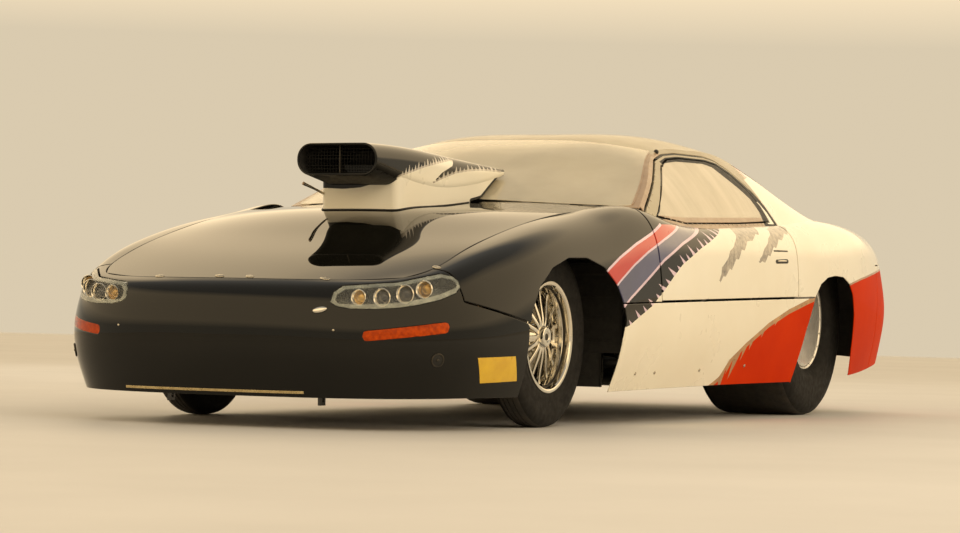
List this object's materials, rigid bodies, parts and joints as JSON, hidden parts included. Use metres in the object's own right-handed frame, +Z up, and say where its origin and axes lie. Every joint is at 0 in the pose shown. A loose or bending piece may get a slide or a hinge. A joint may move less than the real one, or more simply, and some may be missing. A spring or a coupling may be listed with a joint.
{
  "type": "drag racing car",
  "caption": "Low fastback two-door drag racing coupe with tall hood scoop, skinny front wheels, wide rear slicks, opening doors and deck lid, steered front wheels and a wheelie bar.",
  "frame": {"origin": "centre of the bounding box, on the ground the wheels stand on", "axes": "+X forward, +Y to the left, +Z up"},
  "size_m": [5.286, 1.8754, 1.1768],
  "materials": {
    "black_paint": "gloss",
    "white_paint": "gloss",
    "red_paint": "gloss",
    "clear_glass": "clear",
    "lamp_glass": "clear",
    "amber_glass": "clear",
    "red_glass": "clear",
    "chassis_paint": "satin",
    "bare_aluminium": "satin",
    "cast_metal": "matte",
    "dark_steel": "satin",
    "tyre_rubber": "matte",
    "polished_rim": "polished",
    "black_plastic": "matte",
    "seat_fabric": "matte"
  },
  "bodies": {
    "chassis": {"nose": "black_paint", "left_fender": "black_paint", "right_fender": "black_paint", "hood": "black_paint", "hood_scoop": "black_paint", "left_rocker": "white_paint", "right_rocker": "white_paint", "left_quarter": "white_paint", "right_quarter": "white_paint", "roof": "white_paint", "rear_bumper": "red_paint", "windscreen": "clear_glass", "rear_window": "clear_glass", "head_lamps": "lamp_glass", "turn_lamps": "amber_glass", "tail_lamps": "red_glass", "floor_pan": "bare_aluminium", "firewall": "bare_aluminium", "wheel_tubs": "bare_aluminium", "frame_rails": "chassis_paint", "roll_cage": "chassis_paint", "engine": "cast_metal", "gearbox": "cast_metal", "radiator": "bare_aluminium", "driveshaft": "dark_steel", "exhaust": "dark_steel", "rear_axle_housing": "dark_steel", "rear_links": "dark_steel", "wheelie_bar": "chassis_paint", "driver_seat": "seat_fabric", "dashboard": "black_plastic", "steering_column": "dark_steel", "front_suspension": "dark_steel", "steering_rack": "dark_steel"},
    "left_door": {"left_door": "white_paint", "left_door_glass": "clear_glass"},
    "right_door": {"right_door": "white_paint", "right_door_glass": "clear_glass"},
    "deck_lid": {"deck_lid": "white_paint"},
    "left_knuckle": {"left_knuckle": "dark_steel"},
    "right_knuckle": {"right_knuckle": "dark_steel"},
    "left_front_wheel": {"left_front_tyre": "tyre_rubber", "left_front_rim": "polished_rim"},
    "right_front_wheel": {"right_front_tyre": "tyre_rubber", "right_front_rim": "polished_rim"},
    "rear_wheels": {"rear_tyres": "tyre_rubber", "rear_rims": "polished_rim"},
    "steering_wheel": {"steering_wheel": "black_plastic"}
  },
  "joints": [
    {"name": "left_steer", "type": "hinge", "parent": "chassis", "child": "left_knuckle", "pos_m": [1.56503, 0.612, 0.32805], "axis": [0.0273, 0, 0.9996], "range_deg": [-22, 22]},
    {"name": "right_steer", "type": "hinge", "parent": "chassis", "child": "right_knuckle", "pos_m": [1.56503, -0.612, 0.32805], "axis": [0.0273, 0, 0.9996], "range_deg": [-22, 22]},
    {"name": "left_front_spin", "type": "hinge", "parent": "left_knuckle", "child": "left_front_wheel", "pos_m": [1.56503, 0.702, 0.32805], "axis": [0, 1, 0], "continuous": true},
    {"name": "right_front_spin", "type": "hinge", "parent": "right_knuckle", "child": "right_front_wheel", "pos_m": [1.56503, -0.702, 0.32805], "axis": [0, 1, 0], "continuous": true},
    {"name": "rear_spin", "type": "hinge", "parent": "chassis", "child": "rear_wheels", "pos_m": [-1.07159, 0, 0.41479], "axis": [0, 1, 0], "continuous": true},
    {"name": "steering_wheel_turn", "type": "hinge", "parent": "chassis", "child": "steering_wheel", "pos_m": [0.38221, 0.402, 0.71775], "axis": [-0.9408, 0, 0.3389], "range_deg": [-180, 180]},
    {"name": "left_door_hinge", "type": "hinge", "parent": "chassis", "child": "left_door", "pos_m": [0.88905, 0.894, 0.6314], "axis": [0.0273, 0, 0.9996], "range_deg": [-60, 0]},
    {"name": "right_door_hinge", "type": "hinge", "parent": "chassis", "child": "right_door", "pos_m": [0.88905, -0.894, 0.6314], "axis": [0.0273, 0, 0.9996], "range_deg": [0, 60]},
    {"name": "deck_lid_hinge", "type": "hinge", "parent": "chassis", "child": "deck_lid", "pos_m": [-1.26746, 0, 0.8623], "axis": [0, 1, 0], "range_deg": [0, 50]}
  ],
  "couplings": [
    {"joint": "right_steer", "follows": "left_steer", "ratio": 1},
    {"joint": "steering_wheel_turn", "follows": "left_steer", "ratio": 8}
  ]
}
